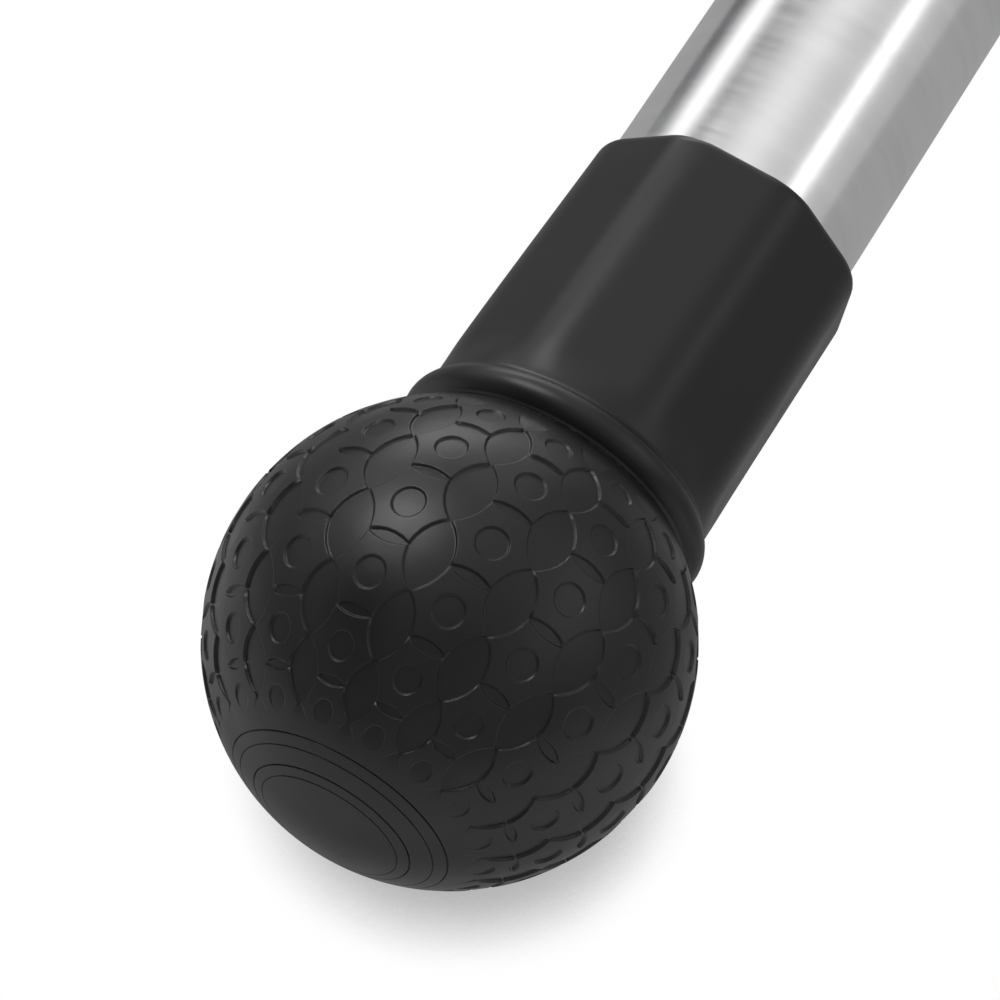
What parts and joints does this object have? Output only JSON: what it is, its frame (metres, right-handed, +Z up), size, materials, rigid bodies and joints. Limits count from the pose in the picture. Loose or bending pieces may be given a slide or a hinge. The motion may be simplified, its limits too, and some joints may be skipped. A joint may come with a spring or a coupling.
{
  "type": "ladder stabilizer",
  "caption": "Wide U of round tube that clamps to a ladder's side rails and rests on a wall or roof through rubber ball feet on adjustable bent arms.",
  "frame": {"origin": "on the ground under the middle of the whole object, lying flat", "axes": "+X along the crossbar, -Y along the arms towards the wall, +Z up along the ladder's rails"},
  "size_m": [1.156, 0.4778, 0.099],
  "materials": {
    "tube": "brushed round the tube",
    "foot": "satin moulded rubber with raised hexagons",
    "core": "moulded nylon",
    "black_plastic": "fine textured mouldings",
    "liner": "smooth nylon",
    "saddle": "tumbled casting",
    "plated": "bright zinc plate",
    "brass": "machined",
    "pad": "matt ribbed rubber"
  },
  "bodies": {
    "frame": {"crossbar": "tube", "bar_glide_left": "black_plastic", "bar_glide_right": "black_plastic"},
    "left_arm": {"arm_left": "tube", "arm_collar_left": "black_plastic", "collar_insert_left": "brass", "collar_screws_left": "plated", "ball_foot_left": "foot", "foot_core_left": "core"},
    "left_tip": {"pressure_tip_left": "brass"},
    "left_knob": {"knob_screw_left": "plated", "star_knob_left": "black_plastic"},
    "left_liner": {"bar_liner_left": "liner"},
    "left_clamp": {"saddle_outer_left": "saddle", "saddle_inner_left": "saddle", "rail_pad_left": "pad", "washers_left": "plated"},
    "left_upper_ubolt": {"ubolt_upper_left": "plated", "crown_guard_upper_left": "pad"},
    "left_upper_outer_nut": {"wing_nut_upper_outer_left": "plated"},
    "left_upper_inner_nut": {"wing_nut_upper_inner_left": "plated"},
    "left_lower_ubolt": {"ubolt_lower_left": "plated", "crown_guard_lower_left": "pad"},
    "left_lower_outer_nut": {"wing_nut_lower_outer_left": "plated"},
    "left_lower_inner_nut": {"wing_nut_lower_inner_left": "plated"},
    "right_arm": {"arm_right": "tube", "arm_collar_right": "black_plastic", "collar_insert_right": "brass", "collar_screws_right": "plated", "ball_foot_right": "foot", "foot_core_right": "core"},
    "right_tip": {"pressure_tip_right": "brass"},
    "right_knob": {"knob_screw_right": "plated", "star_knob_right": "black_plastic"},
    "right_liner": {"bar_liner_right": "liner"},
    "right_clamp": {"saddle_outer_right": "saddle", "saddle_inner_right": "saddle", "rail_pad_right": "pad", "washers_right": "plated"},
    "right_upper_ubolt": {"ubolt_upper_right": "plated", "crown_guard_upper_right": "pad"},
    "right_upper_outer_nut": {"wing_nut_upper_outer_right": "plated"},
    "right_upper_inner_nut": {"wing_nut_upper_inner_right": "plated"},
    "right_lower_ubolt": {"ubolt_lower_right": "plated", "crown_guard_lower_right": "pad"},
    "right_lower_outer_nut": {"wing_nut_lower_outer_right": "plated"},
    "right_lower_inner_nut": {"wing_nut_lower_inner_right": "plated"}
  },
  "joints": [
    {"name": "left_arm_slide", "type": "slide", "parent": "frame", "child": "left_arm", "axis": [-1, 0, 0], "range_m": [0, 0.075]},
    {"name": "left_tip_lift", "type": "slide", "parent": "left_arm", "child": "left_tip", "axis": [0, -0.0485, 0.9988], "range_m": [0, 0.00301]},
    {"name": "left_knob_turn", "type": "hinge", "parent": "left_tip", "child": "left_knob", "pos_m": [-0.272, 0.11871, 0.044], "axis": [0, -0.0485, 0.9988], "range_deg": [0, 860]},
    {"name": "left_clamp_slide", "type": "slide", "parent": "frame", "child": "left_liner", "axis": [-1, 0, 0], "range_m": [-0.045, 0.012]},
    {"name": "left_clamp_tilt", "type": "hinge", "parent": "left_liner", "child": "left_clamp", "pos_m": [-0.195, 0.11871, 0.044], "axis": [1, 0, 0], "range_deg": [-90, 90]},
    {"name": "left_upper_outer_nut_turn", "type": "hinge", "parent": "left_clamp", "child": "left_upper_outer_nut", "pos_m": [-0.2195, 0.10361, 0.07], "axis": [0, 1, 0], "range_deg": [-3456.1, 3456.1]},
    {"name": "left_upper_inner_nut_turn", "type": "hinge", "parent": "left_clamp", "child": "left_upper_inner_nut", "pos_m": [-0.1705, 0.10361, 0.07], "axis": [0, 1, 0], "range_deg": [-3456.1, 3456.1]},
    {"name": "left_upper_ubolt_travel", "type": "slide", "parent": "left_clamp", "child": "left_upper_ubolt", "axis": [0, -1, 0], "range_m": [-0.012, 0.012]},
    {"name": "left_lower_outer_nut_turn", "type": "hinge", "parent": "left_clamp", "child": "left_lower_outer_nut", "pos_m": [-0.2195, 0.10361, 0.018], "axis": [0, 1, 0], "range_deg": [-3456.1, 3456.1]},
    {"name": "left_lower_inner_nut_turn", "type": "hinge", "parent": "left_clamp", "child": "left_lower_inner_nut", "pos_m": [-0.1705, 0.10361, 0.018], "axis": [0, 1, 0], "range_deg": [-3456.1, 3456.1]},
    {"name": "left_lower_ubolt_travel", "type": "slide", "parent": "left_clamp", "child": "left_lower_ubolt", "axis": [0, -1, 0], "range_m": [-0.012, 0.012]},
    {"name": "right_arm_slide", "type": "slide", "parent": "frame", "child": "right_arm", "axis": [1, 0, 0], "range_m": [0, 0.075]},
    {"name": "right_tip_lift", "type": "slide", "parent": "right_arm", "child": "right_tip", "axis": [0, -0.0485, 0.9988], "range_m": [0, 0.00301]},
    {"name": "right_knob_turn", "type": "hinge", "parent": "right_tip", "child": "right_knob", "pos_m": [0.272, 0.11871, 0.044], "axis": [0, -0.0485, 0.9988], "range_deg": [0, 860]},
    {"name": "right_clamp_slide", "type": "slide", "parent": "frame", "child": "right_liner", "axis": [1, 0, 0], "range_m": [-0.045, 0.012]},
    {"name": "right_clamp_tilt", "type": "hinge", "parent": "right_liner", "child": "right_clamp", "pos_m": [0.195, 0.11871, 0.044], "axis": [1, 0, 0], "range_deg": [-90, 90]},
    {"name": "right_upper_outer_nut_turn", "type": "hinge", "parent": "right_clamp", "child": "right_upper_outer_nut", "pos_m": [0.2195, 0.10361, 0.07], "axis": [0, 1, 0], "range_deg": [-3456.1, 3456.1]},
    {"name": "right_upper_inner_nut_turn", "type": "hinge", "parent": "right_clamp", "child": "right_upper_inner_nut", "pos_m": [0.1705, 0.10361, 0.07], "axis": [0, 1, 0], "range_deg": [-3456.1, 3456.1]},
    {"name": "right_upper_ubolt_travel", "type": "slide", "parent": "right_clamp", "child": "right_upper_ubolt", "axis": [0, -1, 0], "range_m": [-0.012, 0.012]},
    {"name": "right_lower_outer_nut_turn", "type": "hinge", "parent": "right_clamp", "child": "right_lower_outer_nut", "pos_m": [0.2195, 0.10361, 0.018], "axis": [0, 1, 0], "range_deg": [-3456.1, 3456.1]},
    {"name": "right_lower_inner_nut_turn", "type": "hinge", "parent": "right_clamp", "child": "right_lower_inner_nut", "pos_m": [0.1705, 0.10361, 0.018], "axis": [0, 1, 0], "range_deg": [-3456.1, 3456.1]},
    {"name": "right_lower_ubolt_travel", "type": "slide", "parent": "right_clamp", "child": "right_lower_ubolt", "axis": [0, -1, 0], "range_m": [-0.012, 0.012]}
  ],
  "couplings": [
    {"joint": "left_tip_lift", "follows": "left_knob_turn", "m_per_rad": 0.00019894},
    {"joint": "left_upper_outer_nut_turn", "follows": "left_upper_ubolt_travel", "rad_per_m": 5026.5},
    {"joint": "left_upper_inner_nut_turn", "follows": "left_upper_ubolt_travel", "rad_per_m": 5026.5},
    {"joint": "left_lower_outer_nut_turn", "follows": "left_lower_ubolt_travel", "rad_per_m": 5026.5},
    {"joint": "left_lower_inner_nut_turn", "follows": "left_lower_ubolt_travel", "rad_per_m": 5026.5},
    {"joint": "right_tip_lift", "follows": "right_knob_turn", "m_per_rad": 0.00019894},
    {"joint": "right_upper_outer_nut_turn", "follows": "right_upper_ubolt_travel", "rad_per_m": 5026.5},
    {"joint": "right_upper_inner_nut_turn", "follows": "right_upper_ubolt_travel", "rad_per_m": 5026.5},
    {"joint": "right_lower_outer_nut_turn", "follows": "right_lower_ubolt_travel", "rad_per_m": 5026.5},
    {"joint": "right_lower_inner_nut_turn", "follows": "right_lower_ubolt_travel", "rad_per_m": 5026.5}
  ]
}
